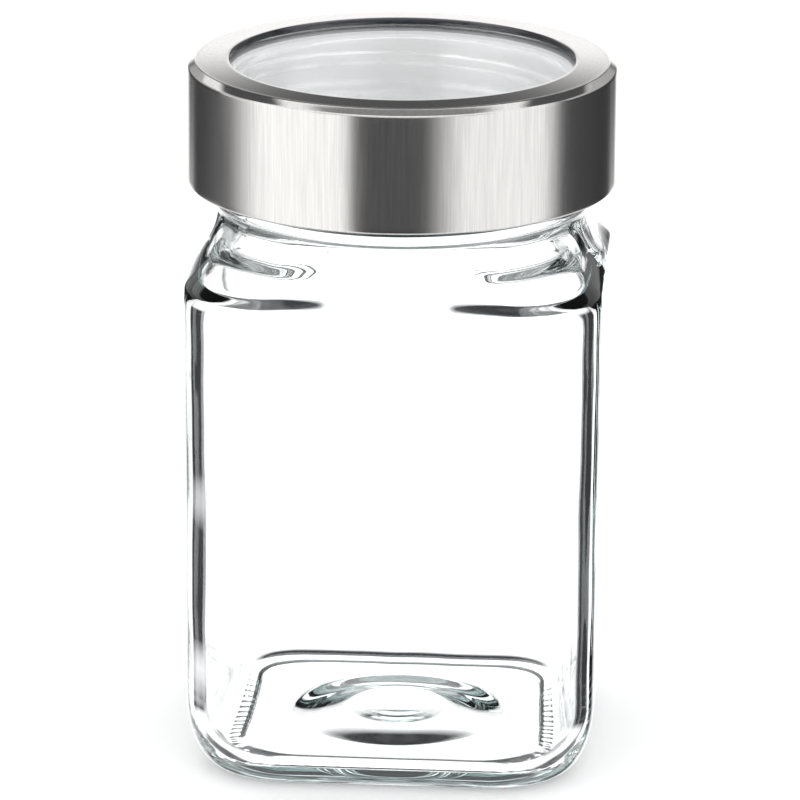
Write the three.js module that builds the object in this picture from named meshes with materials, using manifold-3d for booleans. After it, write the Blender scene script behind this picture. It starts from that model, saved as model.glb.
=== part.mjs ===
// Square glass storage jar with a screw lid.
// The lid is a brushed steel cover over a clear threaded insert, whose disc is the window.
// Millimetres, +Z up, origin at the centre of the base. Closed, as it stands on a shelf.

import * as THREE from 'three';
import { mergeVertices } from 'three/addons/utils/BufferGeometryUtils.js';
import Module from 'manifold-3d';

const wasm = await Module();
wasm.setup();

// ---- driving dimensions ----------------------------------------------------------------

const RIM_Z = 114.5;            // top of the glass mouth
const BODY_HALF = 34.9;         // half the width of the square body, at the shoulder
const BODY_CORNER = 16;         // radius of its upright corners
const WALL = 2.8;               // glass thickness of the sides
const FLOOR_Z = 3.6;            // inside floor, near the walls
const FLOOR_DOME = 1.2;         // rise of the inside floor to its middle
const FLOOR_RISE = 8;           // height of the rounding between inside floor and walls
const FLOOR_HALF = 27.5;        // half the width of the inside floor
const FLOOR_CORNER = 9.5;
const FOOT_TOP_HALF = 34.6;     // half the width of the body above the foot's rounding
const FOOT_RISE = 12;           // height of the rounding between foot and sides
const FOOT_HALF = 28.8;         // outer edge of the flat the jar stands on
const FOOT_CORNER = 12;
const FOOT_FLAT = 2.5;          // width of that flat
const REST_GAP = 0.5;           // underside above the table, inside the foot
const PUSH_UP = 3;              // height of the dome pushed up in the middle of the underside
const DOME_R = 18.5;            // outer edge of that dome
const DOME_SLOPE = 10;          // width of its sloping rim
const SHOULDER_Z = 84;          // where the sides start to turn in
const NECK_Z = 93.2;            // where the shoulder meets the neck
const NECK_R = 31.1;            // neck under the bead
const BEAD_R = 31.9;            // transfer bead under the lid
const BEAD_Z = 95.6;            // its middle height
const FINISH_R = 30.2;          // threaded wall above the bead
const MOUTH_R = 27.9;           // inside of the neck and mouth

const LEAD = 5.2;               // rise of the lid in one turn, right-handed
const THREAD_BASE_Z = 104.05;   // ridge height on the +X side, in its first turn
const THREAD_CREST_R = 31.3;    // outside of the glass ridge

const LID_R = 36;               // outside of the steel cover
const LID_BOTTOM = 97.9;
const LID_TOP = 119;
const STEEL = 0.5;              // sheet thickness of the cover
const WINDOW_R = 29;            // opening in the top of the cover
const INSERT_R = LID_R - STEEL - 0.35;
const INSERT_WALL_R = 32;       // inside of the insert's skirt
const INSERT_CREST_R = 30.75;   // inside of the insert's ridge
const SKIRT_BOTTOM = 99.3;
const SKIRT_THICK = 1.7;
const DISC_TOP = 117.85;        // window disc
const DISC_THICK = 1.5;
const GASKET_THICK = 1.25;
const GAP = 0.3;                // between pieces that touch on the real jar

const CORNER_STEPS = 12;        // outline points in each quarter
const TURN_STEPS = 4 * CORNER_STEPS;

// ---- looks -------------------------------------------------------------------------------

const finish = (color, roughness, metalness, opacity = 1) => new THREE.MeshStandardMaterial({
  color, roughness, metalness, opacity, transparent: opacity < 1,
});

const GLASS = finish(0xeef6f3, 0.03, 0, 0.35);
const BRUSHED_STEEL = finish(0xb9b8b4, 0.32, 1);
const CLEAR_PLASTIC = finish(0xf1f3f4, 0.08, 0, 0.4);
const SILICONE = finish(0xe9ecec, 0.55, 0);

// ---- shapes ------------------------------------------------------------------------------

/** One level of the jar: a square with round corners, or a circle where corner equals half. */
const level = (half, corner, z) => ({ half, corner, z });
const circle = (radius, z) => level(radius, radius, z);

/** The level a share of the way from one half width and corner radius to another. */
const between = ([halfA, cornerA], [halfB, cornerB], share, z) => level(
  halfA + (halfB - halfA) * share,
  cornerA + (cornerB - cornerA) * share,
  z,
);

function levelPoints({ half, corner, z }) {
  const points = [];
  for (let i = 0; i < TURN_STEPS; i += 1) {
    const quarter = Math.floor(i / CORNER_STEPS);
    const angle = ((i + 0.5) / CORNER_STEPS) * (Math.PI / 2);
    const sideX = quarter === 0 || quarter === 3 ? 1 : -1;
    const sideY = quarter < 2 ? 1 : -1;
    points.push([
      sideX * (half - corner) + corner * Math.cos(angle),
      sideY * (half - corner) + corner * Math.sin(angle),
      z,
    ]);
  }
  return points;
}

/** A closed skin through the levels in order, shut by a point on the axis at each end. */
function loftedSkin(firstZ, levels, lastZ) {
  const vertices = [[0, 0, firstZ], ...levels.flatMap(levelPoints), [0, 0, lastZ]];
  const ringVertex = (ring, i) => 1 + ring * TURN_STEPS + (i % TURN_STEPS);
  const last = vertices.length - 1;
  const faces = [];
  for (let i = 0; i < TURN_STEPS; i += 1) {
    faces.push([0, ringVertex(0, i + 1), ringVertex(0, i)]);
    for (let ring = 0; ring + 1 < levels.length; ring += 1) {
      const [a, b] = [ringVertex(ring, i), ringVertex(ring, i + 1)];
      const [c, d] = [ringVertex(ring + 1, i), ringVertex(ring + 1, i + 1)];
      faces.push([a, b, d], [a, d, c]);
    }
    faces.push([last, ringVertex(levels.length - 1, i), ringVertex(levels.length - 1, i + 1)]);
  }
  return indexed(vertices, faces);
}

function indexed(vertices, faces) {
  const geometry = new THREE.BufferGeometry();
  geometry.setAttribute('position', new THREE.Float32BufferAttribute(vertices.flat(), 3));
  geometry.setIndex(faces.flat());
  return geometry;
}

/** A ring turned about Z from a closed outline of [radius, z], listed counter-clockwise. */
function turned(outline) {
  const profile = [...outline, outline[0]].map(([radius, z]) => new THREE.Vector2(radius, z));
  return new THREE.LatheGeometry(profile, TURN_STEPS).rotateX(Math.PI / 2);
}

/** Heights and turns of a screw ridge: its middle height follows the lead. */
const threadHeight = (turn) => THREAD_BASE_Z + LEAD * turn;

/** A screw ridge from rootR to crestR, which fades out at both ends. */
function screwRidge({ rootR, crestR, fromTurn, toTurn, drop, rootWidth, crestWidth }) {
  const fade = 1 / 12;
  const steps = Math.round((toTurn - fromTurn) * TURN_STEPS);
  const vertices = [];
  const faces = [];
  for (let step = 0; step <= steps; step += 1) {
    const turn = fromTurn + ((toTurn - fromTurn) * step) / steps;
    const angle = turn * 2 * Math.PI;
    const fromEnd = Math.min(turn - fromTurn, toTurn - turn);
    const height = 0.55 + 0.45 * Math.min(1, fromEnd / fade);
    const crest = rootR + (crestR - rootR) * height;
    const z = threadHeight(turn) - drop;
    const section = [[rootR, -rootWidth], [crest, -crestWidth], [crest, crestWidth], [rootR, rootWidth]];
    for (const [radius, width] of section) {
      vertices.push([radius * Math.cos(angle), radius * Math.sin(angle), z + width / 2]);
    }
  }
  for (let step = 0; step < steps; step += 1) {
    for (let side = 0; side < 4; side += 1) {
      const [a, b] = [4 * step + side, 4 * step + ((side + 1) % 4)];
      faces.push([a, b, b + 4], [a, b + 4, a + 4]);
    }
  }
  const end = 4 * steps;
  faces.push([0, 2, 1], [0, 3, 2], [end, end + 1, end + 2], [end, end + 2, end + 3]);
  if (crestR > rootR) faces.forEach((face) => face.reverse());
  return indexed(vertices, faces);
}

function solid(geometry) {
  const bare = geometry.clone();
  bare.deleteAttribute('normal');
  bare.deleteAttribute('uv');
  const merged = mergeVertices(bare, 1e-4);
  return new wasm.Manifold(new wasm.Mesh({
    numProp: 3,
    vertProperties: new Float32Array(merged.attributes.position.array),
    triVerts: new Uint32Array(merged.index.array),
  }));
}

function joined(first, second) {
  const { vertProperties, triVerts } = solid(first).add(solid(second)).getMesh();
  const geometry = new THREE.BufferGeometry();
  geometry.setAttribute('position', new THREE.BufferAttribute(vertProperties, 3));
  geometry.setIndex(new THREE.BufferAttribute(triVerts, 1));
  return geometry;
}

const smoothStep = (t) => t * t * (3 - 2 * t);
const quarterTurn = (steps) => Array.from({ length: steps + 1 }, (_, i) => (i / steps) * (Math.PI / 2));

// ---- the glass jar -------------------------------------------------------------------------

/** Underside: a dome pushed up in the middle, then the flat foot out to its outer edge. */
function undersideLevels() {
  const dome = [1, 0.75, 0.5, 0.25, 0].map((t) => circle(
    DOME_R - DOME_SLOPE * t,
    REST_GAP + (PUSH_UP - REST_GAP) * (0.6 * t + 0.4 * smoothStep(t)),
  ));
  const footInner = FOOT_HALF - FOOT_FLAT;
  const cornerInner = FOOT_CORNER - FOOT_FLAT;
  return [...dome, level(footInner - 0.5, cornerInner - 0.5, REST_GAP), level(footInner, cornerInner, 0)];
}

// how far the shoulder has turned from the square to the neck's circle, by height
const SHOULDER = [
  [SHOULDER_Z, 0], [85, 0.1], [86.1, 0.27], [87.2, 0.41], [88.4, 0.55],
  [89.8, 0.67], [91.2, 0.8], [92.3, 0.93], [NECK_Z, 1],
];

/** Outside: foot rounding, sides that lean out a little, then the shoulder. */
function outsideLevels() {
  const foot = quarterTurn(6).map((a) => between(
    [FOOT_HALF, FOOT_CORNER], [FOOT_TOP_HALF, BODY_CORNER], Math.sin(a), FOOT_RISE * (1 - Math.cos(a)),
  ));
  const [body, neck] = [[BODY_HALF, BODY_CORNER], [NECK_R, NECK_R]];
  const shoulder = SHOULDER.map(([z, share]) => between(body, neck, share, z));
  return [...foot, ...shoulder];
}

/** Neck: the bead, the wall that carries the thread, and the rounded rim. */
function neckLevels() {
  const beadHalf = 1.2;
  return [
    circle(NECK_R, BEAD_Z - beadHalf),
    circle(BEAD_R, BEAD_Z - 0.5 * beadHalf),
    circle(BEAD_R, BEAD_Z + 0.5 * beadHalf),
    circle(FINISH_R, BEAD_Z + 1.6 * beadHalf),
    circle(FINISH_R, RIM_Z - 0.8),
    circle(FINISH_R - 0.7, RIM_Z),
    circle(MOUTH_R + 0.5, RIM_Z),
    circle(MOUTH_R, RIM_Z - 0.6),
  ];
}

// inside of the shoulder, as [half width, corner radius, height]: the glass is thickest at the corners
const INNER_SHOULDER = [
  [28.4, 26.4, 92], [29.2, 24.8, 90.5], [30.2, 23, 89], [31.2, 21, 87.3],
  [31.9, 18.5, 85.5], [32.1, 16, 83.5], [32.1, 13.2, 80],
];

/** Inside: down the neck, out under the shoulder, down the walls and in to the floor. */
function insideLevels() {
  const shoulder = INNER_SHOULDER.map(([half, corner, z]) => level(half, corner, z));
  const foot = [FOOT_TOP_HALF - WALL, BODY_CORNER - WALL];
  const floor = quarterTurn(5).reverse().map((a) => between(
    [FLOOR_HALF, FLOOR_CORNER], foot, Math.sin(a), FLOOR_Z + FLOOR_RISE * (1 - Math.cos(a)),
  ));
  const dome = [0, 1 / 3, 2 / 3].map((t) => circle(DOME_R * (1 - t), FLOOR_Z + FLOOR_DOME * smoothStep(t)));
  return [circle(MOUTH_R, NECK_Z + 0.3), ...shoulder, ...floor, ...dome];
}

function jarGeometry() {
  const levels = [...undersideLevels(), ...outsideLevels(), ...neckLevels(), ...insideLevels()];
  const skin = loftedSkin(PUSH_UP, levels, FLOOR_Z + FLOOR_DOME);
  const ridge = screwRidge({
    rootR: FINISH_R - 0.6, crestR: THREAD_CREST_R, fromTurn: 0, toTurn: 1.5,
    drop: 0, rootWidth: 2.6, crestWidth: 1,
  });
  return joined(skin, ridge);
}

// ---- the lid -------------------------------------------------------------------------------

/** Steel cover: hem under the insert, upright band, bevel, flat ring and rolled window edge. */
function coverGeometry() {
  const innerR = LID_R - STEEL;
  const hemR = LID_R - 1.1;
  const ringR = LID_R - 1.5;
  const rollBottom = LID_TOP - 0.85;
  return turned([
    [hemR, LID_BOTTOM], [LID_R - 0.25, LID_BOTTOM], [LID_R, LID_BOTTOM + 0.25],
    [LID_R, LID_TOP - 1.6], [LID_R - 0.2, LID_TOP - 1.2], [ringR, LID_TOP],
    [WINDOW_R + 0.45, LID_TOP], [WINDOW_R, LID_TOP - 0.35], [WINDOW_R, rollBottom],
    [WINDOW_R + 0.4, rollBottom], [WINDOW_R + 0.55, LID_TOP - STEEL], [ringR - 0.2, LID_TOP - STEEL],
    [innerR, LID_TOP - 1.75], [innerR, LID_BOTTOM + 1], [hemR, LID_BOTTOM + 1],
  ]);
}

/** Clear insert: window disc, skirt with the ridge inside it, and the flange that the hem holds. */
function insertGeometry() {
  const discBottom = DISC_TOP - DISC_THICK;
  const skirtR = INSERT_WALL_R + SKIRT_THICK;
  const flangeTop = SKIRT_BOTTOM + 1.3;
  const outline = [
    [0, discBottom], [INSERT_WALL_R, discBottom], [INSERT_WALL_R, SKIRT_BOTTOM],
    [INSERT_R, SKIRT_BOTTOM], [INSERT_R, flangeTop], [skirtR, flangeTop],
    [skirtR, discBottom], [INSERT_R - 0.3, discBottom], [INSERT_R - 0.3, DISC_TOP - 0.4],
    [INSERT_R - 0.7, DISC_TOP], [0, DISC_TOP],
  ];
  const profile = outline.map(([radius, z]) => new THREE.Vector2(radius, z));
  const shell = new THREE.LatheGeometry(profile, TURN_STEPS).rotateX(Math.PI / 2);
  const ridge = screwRidge({
    rootR: INSERT_WALL_R + 0.6, crestR: INSERT_CREST_R, fromTurn: 0.1, toTurn: 1.35,
    drop: LEAD / 2, rootWidth: 2.6, crestWidth: 1,
  });
  return joined(shell, ridge);
}

/** Sealing ring between the rim of the glass and the window disc. */
function gasketGeometry() {
  const bottom = RIM_Z + GAP;
  const top = bottom + GASKET_THICK;
  const innerR = MOUTH_R + 0.3;
  const outerR = INSERT_WALL_R - 0.4;
  return turned([[innerR, bottom], [outerR, bottom], [outerR, top], [innerR, top]]);
}

// ---- assembly --------------------------------------------------------------------------------

function piece(name, geometry, material) {
  const mesh = new THREE.Mesh(geometry, material);
  mesh.name = name;
  return mesh;
}

const jar = new THREE.Group();
jar.add(piece('jar_glass', jarGeometry(), GLASS));

const lid = new THREE.Group();
lid.add(
  piece('lid_cover', coverGeometry(), BRUSHED_STEEL),
  piece('lid_insert', insertGeometry(), CLEAR_PLASTIC),
  piece('lid_gasket', gasketGeometry(), SILICONE),
);

const part = new THREE.Group();
part.add(jar, lid);

export default part;
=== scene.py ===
"""Looks of the square glass jar with its screw lid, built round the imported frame.

Lengths are in metres. The shapes repeat the part's own dimensions at a finer grain: the
glass is one lofted skin, and the lid's pieces are turned profiles. Angles round the jar
run about +Z, from +X in the shapes and from the front in the studio.
"""

import math

import bpy
import numpy as np
from mathutils import Matrix, Vector


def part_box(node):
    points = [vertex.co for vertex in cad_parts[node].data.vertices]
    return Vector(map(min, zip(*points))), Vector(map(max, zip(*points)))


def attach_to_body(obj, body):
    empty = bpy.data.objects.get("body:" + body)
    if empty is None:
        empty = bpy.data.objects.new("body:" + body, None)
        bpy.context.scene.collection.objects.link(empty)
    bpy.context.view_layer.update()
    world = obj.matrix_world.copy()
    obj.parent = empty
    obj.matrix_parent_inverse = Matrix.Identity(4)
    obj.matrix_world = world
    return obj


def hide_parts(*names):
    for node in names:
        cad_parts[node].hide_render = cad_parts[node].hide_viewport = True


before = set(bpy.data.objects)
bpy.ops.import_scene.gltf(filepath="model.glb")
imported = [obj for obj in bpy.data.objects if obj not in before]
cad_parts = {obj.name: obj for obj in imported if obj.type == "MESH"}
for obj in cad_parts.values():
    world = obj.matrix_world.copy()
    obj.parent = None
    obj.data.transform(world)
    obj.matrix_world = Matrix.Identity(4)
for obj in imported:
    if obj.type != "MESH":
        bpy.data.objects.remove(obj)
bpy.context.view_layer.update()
MM = 0.001

# ---- sizes: the frame's own, and the part's driving dimensions ------------------------------

GLASS_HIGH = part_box("jar_glass")[1]
COVER_LOW, COVER_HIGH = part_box("lid_cover")
INSERT_LOW, INSERT_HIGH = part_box("lid_insert")
GASKET_LOW, GASKET_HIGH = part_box("lid_gasket")

RIM_Z = GLASS_HIGH[2]
BODY_HALF = 34.9 * MM           # at the shoulder
FOOT_TOP_HALF = 34.6 * MM       # at the top of the foot's rounding
BODY_CORNER = 16 * MM
WALL = 2.8 * MM
FLOOR_Z = 3.6 * MM
FLOOR_DOME = 1.2 * MM
FLOOR_RISE = 8 * MM             # height of the rounding between inside floor and walls
FLOOR_HALF = 27.5 * MM
FLOOR_CORNER = 9.5 * MM
FOOT_RISE = 12 * MM
FOOT_HALF = 28.8 * MM
FOOT_CORNER = 12 * MM
FOOT_FLAT = 2.5 * MM
REST_GAP = 0.5 * MM             # the underside clears the table inside the foot
PUSH_UP = 3.0 * MM
DOME_R = 18.5 * MM
DOME_SLOPE = 10 * MM
SHOULDER_Z = 84.0 * MM
NECK_Z = 93.2 * MM
NECK_R = 31.1 * MM
BEAD_R = 31.9 * MM
BEAD_Z = 95.6 * MM
BEAD_HALF = 1.2 * MM            # half the bead's height
FINISH_R = 30.2 * MM
MOUTH_R = 27.9 * MM

LEAD = 5.2 * MM
THREAD_BASE_Z = 104.05 * MM
THREAD_CREST_R = 31.3 * MM
INSERT_WALL_R = 32 * MM
INSERT_CREST_R = 30.75 * MM
JAR_TURNS = (0, 1.5)            # where each screw ridge starts and stops, in turns
INSERT_TURNS = (0.1, 1.35)

LID_R = COVER_HIGH[0]
LID_BOTTOM = COVER_LOW[2]
LID_TOP = COVER_HIGH[2]
STEEL = 0.5 * MM
WINDOW_R = 29 * MM
INSERT_R = LID_R - STEEL - 0.35 * MM
SKIRT_BOTTOM = INSERT_LOW[2]
SKIRT_THICK = 1.7 * MM
DISC_TOP = INSERT_HIGH[2]
DISC_THICK = 1.5 * MM
FLANGE_THICK = 1.3 * MM

ROUND_STEPS = 480               # points in each outline
GLASS_TIP_R = 1.2 * MM          # the last ring before the axis
INSERT_TIP_R = 1.5 * MM
TURN = 2 * math.pi


# ---- mesh helpers -------------------------------------------------------------------------

def mesh_object(name, vertices, faces, smooth=True):
    mesh = bpy.data.meshes.new(name)
    mesh.from_pydata(vertices, [], faces)
    mesh.update()
    mesh.polygons.foreach_set("use_smooth", [smooth] * len(mesh.polygons))
    obj = bpy.data.objects.new(name, mesh)
    bpy.context.scene.collection.objects.link(obj)
    return obj


def ring_grid(name, rings, closed_loop, first=None, last=None):
    """Skin over rings of points. It closes on itself, or ends at a point on the axis."""
    count = len(rings[0])
    vertices = [tuple(p) for ring in rings for p in ring]
    faces = []
    pairs = len(rings) if closed_loop else len(rings) - 1
    for row in range(pairs):
        here, there = row * count, ((row + 1) % len(rings)) * count
        for i in range(count):
            j = (i + 1) % count
            faces.append((here + i, here + j, there + j, there + i))
    for end, row in ((first, 0), (last, len(rings) - 1)):
        if end is None:
            continue
        tip = len(vertices)
        vertices.append(tuple(end))
        for i in range(count):
            j = (i + 1) % count
            a, b = row * count + i, row * count + j
            faces.append((tip, b, a) if row == 0 else (tip, a, b))
    return mesh_object(name, vertices, faces)


def angles(count=ROUND_STEPS):
    return np.arange(count) * TURN / count


def square_radius(angle, half, corner):
    """Distance from the axis to a square with round corners, along each angle."""
    c, s = np.abs(np.cos(angle)), np.abs(np.sin(angle))
    offset = half - corner
    flat = half / np.maximum(c, s)
    reach = offset * (c + s)
    root = np.sqrt(np.maximum(reach ** 2 - 2 * offset ** 2 + corner ** 2, 0))
    on_side = np.minimum(c, s) * half <= offset * np.maximum(c, s)
    return np.where(on_side, flat, reach + root)


def ring_at(radius, z, count=ROUND_STEPS):
    """A ring of points, at one radius or at one for each angle."""
    angle = angles(count)
    return np.stack([radius * np.cos(angle), radius * np.sin(angle), np.full_like(angle, z)], 1)


def level(half, corner, z):
    return ring_at(square_radius(angles(), half, corner), z)


def circle(radius, z):
    return level(radius, radius, z)


def smooth_step(t):
    t = np.clip(t, 0, 1)
    return t * t * (3 - 2 * t)


def spread(start, stop, count):
    return [start + (stop - start) * i / (count - 1) for i in range(count)]


# ---- screw ridges ---------------------------------------------------------------------------

def screw_relief(angle, z, from_turn, to_turn, drop):
    """How far the screw ridge stands up at each angle and height, from 0 to 1."""
    relief = np.zeros_like(angle)
    root, crest, fade = 1.3 * MM, 0.55 * MM, 1 / 12
    for whole in range(math.ceil(to_turn) + 1):
        turn = angle / TURN + whole
        middle = THREAD_BASE_Z + LEAD * turn - drop
        height = smooth_step((root - np.abs(z - middle)) / (root - crest))
        ends = smooth_step(np.minimum(turn - from_turn, to_turn - turn) / fade)
        relief = np.maximum(relief, height * ends)
    return relief


def ridged_circle(wall, crest, z, from_turn, to_turn, drop):
    return ring_at(wall + (crest - wall) * screw_relief(angles(), z, from_turn, to_turn, drop), z)


# ---- the glass ------------------------------------------------------------------------------

def quarter(count):
    return [a * math.pi / 2 / (count - 1) for a in range(count)]


def foot_knurl(rings):
    """Small ribs across the foot's flat, moulded deepest at the front and shallow at the back."""
    angle = angles()
    radius = square_radius(angle, FOOT_HALF - FOOT_FLAT / 2, FOOT_CORNER - FOOT_FLAT / 2)
    x, y = radius * np.cos(angle), radius * np.sin(angle)
    step = np.hypot(np.roll(x, -1) - x, np.roll(y, -1) - y)
    along = np.concatenate([[0], np.cumsum(step)[:-1]]) / step.sum()
    ribs, deepest = 80, 0.18 * MM
    depth = deepest * np.interp(y, [-FOOT_HALF, 0, 0.8 * FOOT_HALF], [1.0, 0.7, 0.12])
    lift = depth * (0.5 + 0.5 * np.cos(TURN * ribs * along))
    for ring, share in rings:
        ring[:, 2] += lift * share
    return [ring for ring, _ in rings]


def body_half(z):
    """The walls lean in a little towards the foot."""
    share = min(max((z - FOOT_RISE) / (SHOULDER_Z - FOOT_RISE), 0), 1)
    return FOOT_TOP_HALF + (BODY_HALF - FOOT_TOP_HALF) * share


# How far the shoulder has turned from the square to the neck's circle, by height in mm, over
# the middle of the sides and at the corners. The outside ends in a ledge under the neck at its
# corners. The inside turns later there, so the glass is thick where the shoulder starts.
OUTER_SIDE = [
    (84.0, 0), (85.0, 0.10), (86.0, 0.25), (87.0, 0.41), (88.0, 0.56), (89.0, 0.69), (90.0, 0.80),
    (91.0, 0.89), (92.0, 0.955), (93.2, 1),
]
OUTER_CORNER = [
    (84.0, 0), (85.0, 0.11), (86.2, 0.29), (87.3, 0.42), (88.4, 0.51), (89.5, 0.57), (90.6, 0.63),
    (91.6, 0.74), (92.5, 0.93), (93.2, 1),
]
INNER_SIDE = [
    (83.0, 0), (84.0, 0.09), (85.0, 0.23), (86.0, 0.38), (87.0, 0.53), (88.0, 0.66), (89.0, 0.77),
    (90.0, 0.86), (91.2, 0.94), (92.6, 0.985), (94.2, 1),
]
INNER_CORNER = [
    (85.0, 0), (86.0, 0.05), (87.0, 0.19), (88.0, 0.36), (89.0, 0.52), (90.0, 0.66), (91.0, 0.78),
    (92.0, 0.88), (93.0, 0.96), (94.2, 1),
]
OUTER_REACH = 1.3               # how soon the corner's table takes over from the side's
INNER_REACH = 4.0
LEAST_GLASS = 1.7 * MM          # kept between the two skins, measured level
INNER_FOOT = 82 * MM            # where the inside of the walls meets the shoulder
NECK_FOOT = 94.2 * MM           # where the inside of the shoulder meets the neck


def turned_share(table, z):
    """A table read at z in mm, averaged over a short height so that no edge shows at its stops."""
    near = np.linspace(z - 0.6, z + 0.6, 25)
    return np.mean(np.interp(near, *zip(*table)))


def shoulder_radius(z, half, corner, neck, side_table, corner_table, corner_reach):
    """Distance from the axis to a skin of the shoulder at z in mm, along each angle."""
    body = square_radius(angles(), half, corner)
    at_corner = smooth_step((body - half) / (body.max() - half) * corner_reach)
    side, angled = turned_share(side_table, z), turned_share(corner_table, z)
    return body + (neck - body) * (side + (angled - side) * at_corner)


def outer_radius(z):
    return shoulder_radius(z, BODY_HALF, BODY_CORNER, NECK_R, OUTER_SIDE, OUTER_CORNER, OUTER_REACH)


def inner_radius(z):
    """The inner skin, pushed in smoothly wherever less than LEAST_GLASS would be left."""
    half, corner = BODY_HALF - WALL, BODY_CORNER - WALL
    inner = shoulder_radius(z, half, corner, MOUTH_R, INNER_SIDE, INNER_CORNER, INNER_REACH)
    room = outer_radius(z) - LEAST_GLASS - inner
    soft = 0.4 * MM
    eased = -(soft - room) ** 2 / (4 * soft)
    return inner + np.where(room > soft, 0, np.where(room < -soft, room, eased))


def underside_rings():
    """The dome in the middle, the flat round it, and the ribbed foot."""
    rings = []
    for r in spread(GLASS_TIP_R, DOME_R, 32):
        climb = min((DOME_R - r) / DOME_SLOPE, 1)
        share = 0.6 * climb + 0.4 * smooth_step(climb)
        rings.append(circle(r, REST_GAP + (PUSH_UP - REST_GAP) * share))
    foot_inner, foot_corner = FOOT_HALF - FOOT_FLAT, FOOT_CORNER - FOOT_FLAT
    for t in spread(0.1, 0.93, 8):
        half = DOME_R + (foot_inner - DOME_R) * t
        rings.append(level(half, DOME_R + (foot_corner - DOME_R) * t, REST_GAP))
    foot = []
    for t in spread(0, 1, 7):
        ribbed = math.sin(math.pi * (0.1 + 0.8 * t))
        foot.append((level(foot_inner + FOOT_FLAT * t, foot_corner + FOOT_FLAT * t, 0), ribbed))
    return rings + foot_knurl(foot)


def outside_rings():
    """The foot's rounding, the sides and the shoulder."""
    rings = []
    for a in quarter(22)[1:]:
        half = FOOT_HALF + (FOOT_TOP_HALF - FOOT_HALF) * math.sin(a)
        corner = FOOT_CORNER + (BODY_CORNER - FOOT_CORNER) * math.sin(a)
        rings.append(level(half, corner, FOOT_RISE * (1 - math.cos(a))))
    for z in spread(FOOT_RISE, SHOULDER_Z, 40)[1:-1]:
        rings.append(level(body_half(z), BODY_CORNER, z))
    rings += [ring_at(outer_radius(z), z * MM) for z in spread(SHOULDER_Z / MM, NECK_Z / MM, 46)]
    return rings


def neck_rings():
    """The bead, the wall with its screw ridge, and the rounded lip."""
    rings = []
    for t in spread(-1, 1, 13):
        bulge = math.sqrt(max(0, 1 - t * t))
        rings.append(circle(NECK_R + (BEAD_R - NECK_R) * bulge, BEAD_Z + BEAD_HALF * t))
    for t in spread(0.1, 1, 5):
        radius = NECK_R + (FINISH_R - NECK_R) * smooth_step(t)
        rings.append(circle(radius, BEAD_Z + BEAD_HALF * (1 + 0.6 * t)))
    for z in spread(BEAD_Z + 1.65 * BEAD_HALF, RIM_Z - 0.9 * MM, 58):
        rings.append(ridged_circle(FINISH_R, THREAD_CREST_R, z, *JAR_TURNS, 0))
    lip, lip_height = (FINISH_R - MOUTH_R) / 2, 0.8 * MM
    for a in spread(0, math.pi, 15):
        z = RIM_Z - lip_height + lip_height * math.sin(a)
        rings.append(circle(MOUTH_R + lip + lip * math.cos(a), z))
    return rings


def inner_half(z):
    """Half the width inside the walls. Pressed glass is never quite even."""
    # the shoulder's skin is square to the table, so the lean of the sides fades out towards it
    half = body_half(z) + (BODY_HALF - body_half(z)) * smooth_step((z - 60 * MM) / (22 * MM))
    fade = smooth_step((80 * MM - z) / (10 * MM)) * smooth_step((z - 13 * MM) / (8 * MM))
    long_wave = 0.02 * math.sin(TURN * z / (37 * MM) + 1)
    short_wave = 0.003 * math.sin(TURN * z / (14 * MM))
    return half - WALL * (1 + (long_wave + short_wave) * fade)


def inside_rings():
    """Down the neck, out under the shoulder, down the walls and in to the domed floor."""
    inner_corner = BODY_CORNER - WALL
    rings = [circle(MOUTH_R, z) for z in spread(RIM_Z - 2 * MM, NECK_FOOT + 1 * MM, 12)]
    rings += [ring_at(inner_radius(z), z * MM) for z in spread(NECK_FOOT / MM, INNER_FOOT / MM, 56)]
    for z in reversed(spread(FLOOR_Z + FLOOR_RISE, INNER_FOOT, 40)[:-1]):
        rings.append(level(inner_half(z), inner_corner, z))
    side = body_half(FLOOR_Z + FLOOR_RISE) - WALL
    for a in reversed(quarter(16)[:-1]):
        half = FLOOR_HALF + (side - FLOOR_HALF) * math.sin(a)
        corner = FLOOR_CORNER + (inner_corner - FLOOR_CORNER) * math.sin(a)
        rings.append(level(half, corner, FLOOR_Z + FLOOR_RISE * (1 - math.cos(a))))
    for t in spread(0.1, 1, 14):
        half = FLOOR_HALF + (DOME_R - FLOOR_HALF) * t
        rings.append(level(half, FLOOR_CORNER + (DOME_R - FLOOR_CORNER) * t, FLOOR_Z))
    for r in spread(DOME_R - 1 * MM, GLASS_TIP_R, 22):
        rings.append(circle(r, FLOOR_Z + FLOOR_DOME * smooth_step((DOME_R - r) / DOME_R)))
    return rings


def make_jar():
    rings = underside_rings() + outside_rings() + neck_rings() + inside_rings()
    low, high = (0, 0, PUSH_UP), (0, 0, FLOOR_Z + FLOOR_DOME)
    return ring_grid("jar_glass_body", rings, False, first=low, last=high)


# ---- the lid --------------------------------------------------------------------------------

def turned(name, outline, steps=256):
    """A closed ring turned from an outline of (radius, z)."""
    return ring_grid(name, [ring_at(r, z, steps) for r, z in outline], True)


def arc(centre, radius, start, stop, count):
    """Points of a round stretch, in degrees anticlockwise from outwards."""
    radians = [math.radians(a) for a in spread(start, stop, count)]
    return [(centre[0] + radius * math.cos(a), centre[1] + radius * math.sin(a)) for a in radians]


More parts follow.
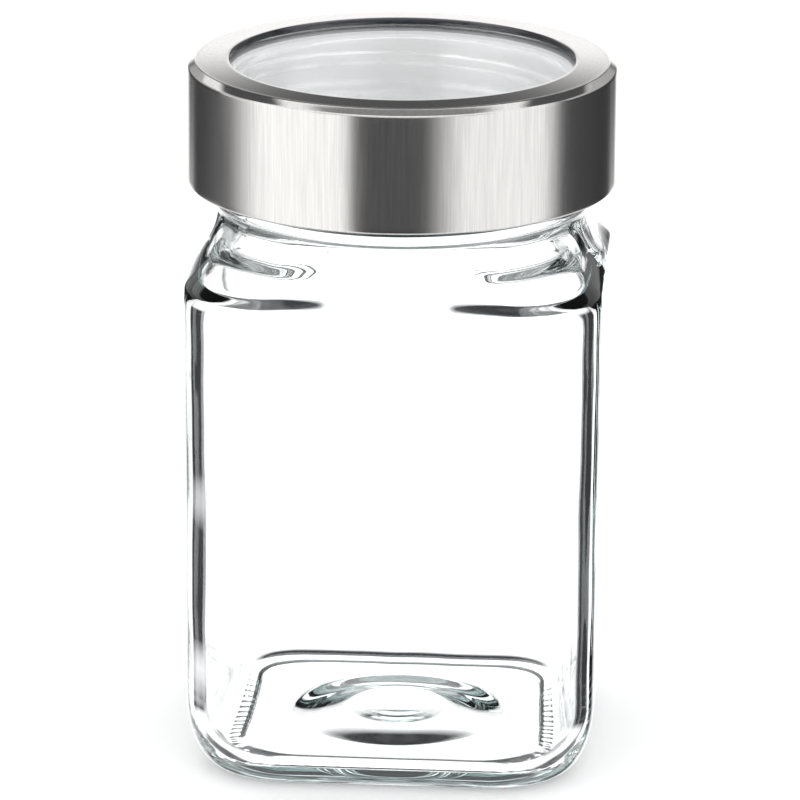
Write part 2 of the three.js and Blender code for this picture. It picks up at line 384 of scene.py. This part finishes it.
def make_cover():
    """Hem, band, bevel, flat ring, rolled window edge, and back along the inside of the sheet."""
    inner = LID_R - STEEL
    roll = 0.3 * MM
    ring_edge = LID_TOP - 0.2 * MM        # the ring falls a little towards its outer edge
    ring_low = LID_TOP - STEEL - 0.2 * MM
    outline = []
    outline += arc((LID_R - 0.45 * MM, LID_BOTTOM + 0.45 * MM), 0.45 * MM, -90, 0, 7)
    outline += [(LID_R, z) for z in spread(LID_BOTTOM + 1.2 * MM, LID_TOP - 1.9 * MM, 8)]
    outline += arc((LID_R - 0.6 * MM, LID_TOP - 1.45 * MM), 0.6 * MM, 0, 42, 7)
    outline += arc((LID_R - 1.35 * MM, ring_edge - 0.35 * MM), 0.35 * MM, 45, 86, 6)
    start, stop = LID_R - 1.5 * MM, WINDOW_R + roll
    for t in spread(0, 0.9, 8):
        outline.append((start + (stop - start) * t, ring_edge + (LID_TOP - ring_edge) * t))
    outline += arc((WINDOW_R + roll, LID_TOP - roll), roll, 90, 180, 8)
    outline += arc((WINDOW_R + 0.25 * MM, LID_TOP - 0.85 * MM), 0.25 * MM, 180, 270, 4)
    outline += [(WINDOW_R + 0.6 * MM, LID_TOP - 0.9 * MM), (WINDOW_R + 0.8 * MM, ring_low)]
    outline += [(LID_R - 1.9 * MM, ring_low), (inner, LID_TOP - 1.9 * MM), (inner, LID_BOTTOM + 1.2 * MM)]
    outline += [(LID_R - 1.0 * MM, LID_BOTTOM + 1.0 * MM), (LID_R - 1.1 * MM, LID_BOTTOM + 0.6 * MM)]
    outline += [(LID_R - 1.0 * MM, LID_BOTTOM + 0.1 * MM)]
    return turned("lid_cover_shell", outline)


def make_insert():
    """Under the disc, down the ridged skirt, round the flange, up outside and over the disc."""
    disc_bottom = DISC_TOP - DISC_THICK
    skirt = INSERT_WALL_R + SKIRT_THICK
    flange = SKIRT_BOTTOM + FLANGE_THICK
    rings = [circle(r, disc_bottom) for r in spread(INSERT_TIP_R, INSERT_WALL_R - 0.4 * MM, 12)]
    rings.append(circle(INSERT_WALL_R - 0.05 * MM, disc_bottom - 0.1 * MM))
    for z in spread(disc_bottom - 0.5 * MM, SKIRT_BOTTOM + 0.3 * MM, 60):
        rings.append(ridged_circle(INSERT_WALL_R, INSERT_CREST_R, z, *INSERT_TURNS, LEAD / 2))
    for r, z in (
        (INSERT_WALL_R + 0.2 * MM, SKIRT_BOTTOM), (INSERT_R - 0.2 * MM, SKIRT_BOTTOM),
        (INSERT_R, SKIRT_BOTTOM + 0.2 * MM), (INSERT_R, flange - 0.2 * MM), (INSERT_R - 0.2 * MM, flange),
        (skirt + 0.3 * MM, flange), (skirt, flange + 0.3 * MM), (skirt, disc_bottom - 0.3 * MM),
        (skirt + 0.2 * MM, disc_bottom), (INSERT_R - 0.5 * MM, disc_bottom),
        (INSERT_R - 0.3 * MM, disc_bottom + 0.2 * MM), (INSERT_R - 0.3 * MM, DISC_TOP - 0.4 * MM),
        (INSERT_R - 0.7 * MM, DISC_TOP),
    ):
        rings.append(circle(r, z))
    rings += [circle(r, DISC_TOP) for r in spread(INSERT_R - 1.2 * MM, INSERT_TIP_R, 12)]
    low, high = (0, 0, disc_bottom), (0, 0, DISC_TOP)
    return ring_grid("lid_insert_clear", rings, False, first=low, last=high)


def make_gasket():
    low, high = GASKET_LOW[2], GASKET_HIGH[2]
    inner, outer = MOUTH_R + 0.3 * MM, INSERT_WALL_R - 0.4 * MM
    soft = 0.25 * MM
    outline = []
    outline += arc((outer - soft, low + soft), soft, -90, 0, 5)
    outline += arc((outer - soft, high - soft), soft, 0, 90, 5)
    outline += arc((inner + soft, high - soft), soft, 90, 180, 5)
    outline += arc((inner + soft, low + soft), soft, 180, 270, 5)
    return turned("lid_gasket_ring", outline)


# ---- materials ------------------------------------------------------------------------------

def new_material(name):
    material = bpy.data.materials.new(name)
    material.use_nodes = True
    nodes, links = material.node_tree.nodes, material.node_tree.links
    return material, nodes, links, nodes["Principled BSDF"]


def noise(nodes, links, stretch, detail=2.0):
    """Noise over the piece, with its repeats for each metre along X, Y and Z."""
    where = nodes.new("ShaderNodeTexCoord")
    scale = nodes.new("ShaderNodeVectorMath")
    scale.operation = "MULTIPLY"
    scale.inputs[1].default_value = stretch
    links.new(where.outputs["Object"], scale.inputs[0])
    texture = nodes.new("ShaderNodeTexNoise")
    texture.inputs["Scale"].default_value = 1.0
    texture.inputs["Detail"].default_value = detail
    links.new(scale.outputs[0], texture.inputs["Vector"])
    return texture.outputs["Fac"]


def remap(nodes, links, value, low, high, start, stop):
    node = nodes.new("ShaderNodeMapRange")
    for name, number in (("From Min", low), ("From Max", high), ("To Min", start), ("To Max", stop)):
        node.inputs[name].default_value = number
    links.new(value, node.inputs["Value"])
    return node.outputs[0]


def mixed_number(nodes, links, share, first, second):
    """The first socket's number where the share is 0 and the second number where it is 1."""
    node = nodes.new("ShaderNodeMix")
    node.data_type = "FLOAT"
    links.new(share, node.inputs[0])
    links.new(first, node.inputs[2])
    node.inputs[3].default_value = second
    return node.outputs[0]


def multiply(nodes, links, first, second):
    node = nodes.new("ShaderNodeMath")
    node.operation = "MULTIPLY"
    links.new(first, node.inputs[0])
    links.new(second, node.inputs[1])
    return node.outputs[0]


def mixed(nodes, links, share, first, second):
    """The first colour where the share is 0 and the second where it is 1."""
    node = nodes.new("ShaderNodeMix")
    node.data_type = "RGBA"
    links.new(share, node.inputs["Factor"])
    for socket, colour in ((node.inputs["A"], first), (node.inputs["B"], second)):
        if isinstance(colour, tuple):
            socket.default_value = colour
        else:
            links.new(colour, socket)
    return node.outputs["Result"]


def waves(nodes, links, shader, height, distance):
    """Bends the surface by a height map that is distance deep."""
    bump = nodes.new("ShaderNodeBump")
    bump.inputs["Strength"].default_value = 1.0
    bump.inputs["Distance"].default_value = distance
    links.new(height, bump.inputs["Height"])
    links.new(bump.outputs[0], shader.inputs["Normal"])


def glass_material():
    """Soda-lime glass, faintly green through its thickness, with soft waves from the mould."""
    material, nodes, links, shader = new_material("clear_glass")
    shader.inputs["Roughness"].default_value = 0.0
    shader.inputs["IOR"].default_value = 1.52
    shader.inputs["Transmission Weight"].default_value = 1.0
    cords = remap(nodes, links, noise(nodes, links, (60, 60, 14)), 0.35, 0.65, 0, 1)
    links.new(mixed(nodes, links, cords, (1, 1, 1, 1), (0.985, 1, 0.995, 1)), shader.inputs["Base Color"])
    waves(nodes, links, shader, noise(nodes, links, (70, 70, 30), 1.0), 0.12 * MM)
    absorb = nodes.new("ShaderNodeVolumeAbsorption")
    absorb.inputs["Color"].default_value = (0.35, 0.86, 0.87, 1)
    absorb.inputs["Density"].default_value = 4.0
    links.new(absorb.outputs[0], nodes["Material Output"].inputs["Volume"])
    return material


def plastic_material():
    """Clear moulded plastic, with faint flow marks."""
    material, nodes, links, shader = new_material("clear_plastic")
    shader.inputs["IOR"].default_value = 1.49
    shader.inputs["Transmission Weight"].default_value = 1.0
    flow = noise(nodes, links, (45, 45, 45))
    links.new(remap(nodes, links, flow, 0.3, 0.7, 0.02, 0.05), shader.inputs["Roughness"])
    marks = remap(nodes, links, flow, 0.3, 0.7, 0, 1)
    clear, cloudy = (0.99, 0.99, 0.995, 1), (0.975, 0.98, 0.985, 1)
    links.new(mixed(nodes, links, marks, clear, cloudy), shader.inputs["Base Color"])
    return material


def steel_material():
    """Steel sheet: hairlines on the band, a smoother ring on top and a light satin inside."""
    material, nodes, links, shader = new_material("brushed_steel")
    shader.inputs["Metallic"].default_value = 1.0
    shader.inputs["Anisotropic"].default_value = 0.6
    shader.inputs["Anisotropic Rotation"].default_value = 0.25
    shader.inputs["Specular Tint"].default_value = (0.75, 0.75, 0.75, 1)
    where = nodes.new("ShaderNodeTexCoord")
    split = nodes.new("ShaderNodeSeparateXYZ")
    links.new(where.outputs["Object"], split.inputs[0])
    height = split.outputs["Z"]
    outward = nodes.new("ShaderNodeCombineXYZ")
    links.new(split.outputs["X"], outward.inputs["X"])
    links.new(split.outputs["Y"], outward.inputs["Y"])
    across = nodes.new("ShaderNodeVectorMath")
    across.operation = "LENGTH"
    links.new(outward.outputs[0], across.inputs[0])
    radius = across.outputs["Value"]

    streaks = noise(nodes, links, (2600, 2600, 90), 3.0)
    hairlines = remap(nodes, links, streaks, 0.3, 0.7, 0, 1)
    steel = mixed(nodes, links, hairlines, (0.76, 0.75, 0.73, 1), (0.66, 0.65, 0.635, 1))
    # painted shade: the steel round the window's edge is painted near black, standing in for the dark
    # line of shade there
    painted_shade_edge = remap(nodes, links, radius, WINDOW_R + 0.1 * MM, WINDOW_R + 0.22 * MM, 0, 1)
    steel = mixed(nodes, links, painted_shade_edge, (0.10, 0.10, 0.11, 1), steel)
    inward = remap(nodes, links, radius, LID_R - 0.35 * MM, LID_R - 0.2 * MM, 1, 0)
    below = remap(nodes, links, height, LID_TOP - 1.75 * MM, LID_TOP - 1.6 * MM, 1, 0)
    inside = multiply(nodes, links, inward, below)
    links.new(mixed(nodes, links, inside, steel, (0.96, 0.96, 0.95, 1)), shader.inputs["Base Color"])

    band_roughness = remap(nodes, links, hairlines, 0, 1, 0.2, 0.25)
    on_ring = remap(nodes, links, height, LID_TOP - 1.6 * MM, LID_TOP - 1.0 * MM, 0, 1)
    roughness = mixed_number(nodes, links, on_ring, band_roughness, 0.1)
    links.new(mixed_number(nodes, links, inside, roughness, 0.5), shader.inputs["Roughness"])

    tangent = nodes.new("ShaderNodeTangent")
    tangent.direction_type = "RADIAL"
    tangent.axis = "Z"
    links.new(tangent.outputs[0], shader.inputs["Tangent"])
    return material


def silicone_material():
    """Milky silicone with a little dust in its surface."""
    material, nodes, links, shader = new_material("silicone")
    grain = noise(nodes, links, (900, 900, 900))
    dust = remap(nodes, links, grain, 0.3, 0.7, 0, 1)
    clean, dusty = (0.9, 0.915, 0.915, 1), (0.82, 0.84, 0.84, 1)
    links.new(mixed(nodes, links, dust, clean, dusty), shader.inputs["Base Color"])
    links.new(remap(nodes, links, grain, 0.3, 0.7, 0.4, 0.55), shader.inputs["Roughness"])
    return material


def put(obj, material, body, slot, *nodes):
    """Gives a piece its material, and says what it rides on and which CAD nodes it replaces; the slot is
    not used.
    """
    obj.data.materials.append(material)
    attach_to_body(obj, body)
    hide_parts(*nodes)


put(make_jar(), glass_material(), "jar", "clear_glass", "jar_glass")
put(make_cover(), steel_material(), "lid", "brushed_steel", "lid_cover")
put(make_insert(), plastic_material(), "lid", "clear_plastic", "lid_insert")
put(make_gasket(), silicone_material(), "seal", "silicone", "lid_gasket")


# ---- stage ----------------------------------------------------------------------------------

VIEW_AZIMUTH = 4.0              # degrees: the camera stands a little to the right of the front
VIEW_ELEVATION = 16.9
VIEW_ROLL = 0.42
VIEW_DISTANCE = 1.0
AIM_HEIGHT = 0.059
SENSOR = 36
LENS = 263.745

# Brightness of the studio. Angles are in degrees round from the camera, or above the horizon.
STRENGTH = 1.15
DARK = 0.04
# (from, to, softness before, softness after, brightness)
SOFTBOXES = [(-82, -31, 24, 6, 1.2), (33, 82, 20, 14, 1.05)]
FLAG_HEIGHT = (-48, 22)
FLAG_SOFT = 8
# (brightness, (lowest, highest, softness), (nearest, farthest, softness)), later ones on top
PANELS = [
    (0.08, (31, 52, 4), (104, 160, 6)),     # dark, high up behind to the sides
    (0.5, (2, 25, 3), (100, 158, 6)),       # grey over the horizon behind to the sides
    (0.7, (1, 25, 3), (-1, 45, 8)),         # lighter grey over the horizon in front
    (1.1, (-90, -29, 5), (100, 145, 8)),    # white ground behind to the sides
    (0.08, (-48, -36, 5), (148, 190, 6)),   # a dark strip of ground behind the jar
]
# the wall behind the jar: dark, with three panels, and wider low down
BACK_DARK = 0.02
BACK_WHITE = (1.4, (-31, 12.5, 5))
BACK_GROUND = (1.2, (-91, -54, 5))
BACK_TOP = (0.5, (60, 91, 10))
BACK_WIDTH = (167, 190, 5)
BACK_LOW = ((-33, -15.6, 1), (155, 190, 4))
CEILING = (0.25, (66, 100, 6), (-1, 90, 20))
FLOOR_LIGHT = 1.3
# (azimuth, half width, lowest, highest) in degrees
SIDE_STRIPS = [(225, 20, -34, -22), (225, 20, 21, 30), (270, 15, -8, 2)]


def make_floor():
    size = 6.0
    corners = [(-size, -size, 0), (size, -size, 0), (size, size, 0), (-size, size, 0)]
    floor = mesh_object("floor", corners, [(0, 1, 2, 3)], smooth=False)
    floor.location.z = -0.05 * MM       # clear of the foot
    material, nodes, links, shader = new_material("floor_white")
    shader.inputs["Base Color"].default_value = (0.94, 0.94, 0.94, 1)
    shader.inputs["Roughness"].default_value = 0.9
    floor.data.materials.append(material)
    floor.visible_glossy = False
    floor.visible_transmission = False


def make_world():
    """A light tent: soft white panels with dark gaps between them, under a dim ceiling.

    Glass on white shows only what it bends and mirrors, so the dark gaps draw its edges.
    """
    world = bpy.data.worlds.new("studio")
    bpy.context.scene.world = world
    world.use_nodes = True
    nodes, links = world.node_tree.nodes, world.node_tree.links
    nodes.clear()
    output = nodes.new("ShaderNodeOutputWorld")
    background = nodes.new("ShaderNodeBackground")
    where = nodes.new("ShaderNodeTexCoord")
    split = nodes.new("ShaderNodeSeparateXYZ")
    links.new(where.outputs["Generated"], split.inputs[0])

    def attach(socket, value):
        if isinstance(value, (int, float)):
            socket.default_value = value
        else:
            links.new(value, socket)

    def calc(kind, first, second=0.0):
        node = nodes.new("ShaderNodeMath")
        node.operation = kind
        attach(node.inputs[0], first)
        attach(node.inputs[1], second)
        return node.outputs[0]

    def between(value, low, high, soft, soft_after=None):
        """1 from low to high, falling to 0 over soft beyond each end."""
        rise = nodes.new("ShaderNodeMapRange")
        fall = nodes.new("ShaderNodeMapRange")
        after = soft if soft_after is None else soft_after
        for node, start, stop in ((rise, low - soft, low), (fall, high + after, high)):
            node.inputs["From Min"].default_value = start
            node.inputs["From Max"].default_value = stop
            links.new(value, node.inputs["Value"])
        return calc("MULTIPLY", rise.outputs[0], fall.outputs[0])

    x, y, z = split.outputs
    front = calc("MULTIPLY", y, -1.0)
    azimuth = calc("DIVIDE", calc("ARCTAN2", x, front), math.radians(1))
    # degrees round from straight behind the camera, -180 to 180
    round_from_camera = calc("WRAP", calc("SUBTRACT", azimuth, VIEW_AZIMUTH), 180.0)
    round_from_camera.node.inputs[2].default_value = -180.0
    elevation = calc("DIVIDE", calc("ARCSINE", z), math.radians(1))
    from_camera = calc("ABSOLUTE", round_from_camera)

    def patch(heights, degrees):
        return calc("MULTIPLY", between(elevation, *heights), between(from_camera, *degrees))

    def blend(first, second, share):
        node = nodes.new("ShaderNodeMix")
        node.data_type = "FLOAT"
        attach(node.inputs[0], share)
        attach(node.inputs[2], first)
        attach(node.inputs[3], second)
        return node.outputs[0]

    # a white tent, with dark flags and two softboxes round the horizon
    panels = DARK
    for start, stop, soft, soft_after, brightness in SOFTBOXES:
        panels = blend(panels, brightness, between(round_from_camera, start, stop, soft, soft_after))
    light = blend(1.0, panels, between(elevation, *FLAG_HEIGHT, FLAG_SOFT))
    for brightness, heights, degrees in PANELS:
        light = blend(light, brightness, patch(heights, degrees))
    # the wall behind the jar
    back = BACK_DARK
    for brightness, heights in (BACK_WHITE, BACK_GROUND, BACK_TOP):
        back = blend(back, brightness, between(elevation, *heights))
    behind = calc("MAXIMUM", between(from_camera, *BACK_WIDTH), patch(*BACK_LOW))
    light = blend(light, back, behind)
    brightness, heights, degrees = CEILING
    light = blend(light, brightness, patch(heights, degrees))
    # strips of light that the glass is seen against from the other sides
    for middle, spread_round, low, high in SIDE_STRIPS:
        around = calc("WRAP", calc("SUBTRACT", azimuth, middle), 180.0)
        around.node.inputs[2].default_value = -180.0
        wide = between(around, -spread_round, spread_round, 4)
        light = calc("MAXIMUM", light, calc("MULTIPLY", wide, between(elevation, low, high, 3)))

    path = nodes.new("ShaderNodeLightPath")
    # the floor is lit evenly, and the backdrop behind everything is plain
    light = blend(light, FLOOR_LIGHT, calc("GREATER_THAN", path.outputs["Diffuse Depth"], 0.5))
    light = blend(light, 1.0, path.outputs["Is Camera Ray"])
    # the dark flags are a little blue
    colour = nodes.new("ShaderNodeCombineColor")
    for channel, offset in (("Red", 0.004), ("Green", 0.0045), ("Blue", 0.008)):
        links.new(calc("ADD", light, offset), colour.inputs[channel])
    links.new(colour.outputs[0], background.inputs["Color"])
    background.inputs["Strength"].default_value = STRENGTH
    links.new(background.outputs[0], output.inputs[0])


def make_camera():
    data = bpy.data.cameras.new("camera")
    camera = bpy.data.objects.new("camera", data)
    bpy.context.scene.collection.objects.link(camera)
    elevation, azimuth = math.radians(VIEW_ELEVATION), math.radians(VIEW_AZIMUTH)
    roll = math.radians(VIEW_ROLL)
    aim = Vector((0, 0, AIM_HEIGHT))
    reach = math.cos(elevation)
    back = Vector((math.sin(azimuth) * reach, -math.cos(azimuth) * reach, math.sin(elevation)))
    right = Vector((math.cos(azimuth), math.sin(azimuth), 0))
    up = back.cross(right)
    turn = Matrix((right, up, back)).transposed() @ Matrix.Rotation(roll, 3, "Z")
    camera.matrix_world = Matrix.Translation(aim + back * VIEW_DISTANCE) @ turn.to_4x4()
    data.sensor_width = SENSOR
    data.lens = LENS
    data.clip_start = 0.05
    data.clip_end = 50
    bpy.context.scene.camera = camera


make_floor()
make_world()
make_camera()

scene = bpy.context.scene
scene.view_settings.view_transform = "Standard"
scene.cycles.max_bounces = 32
scene.cycles.transmission_bounces = 32
scene.cycles.glossy_bounces = 16
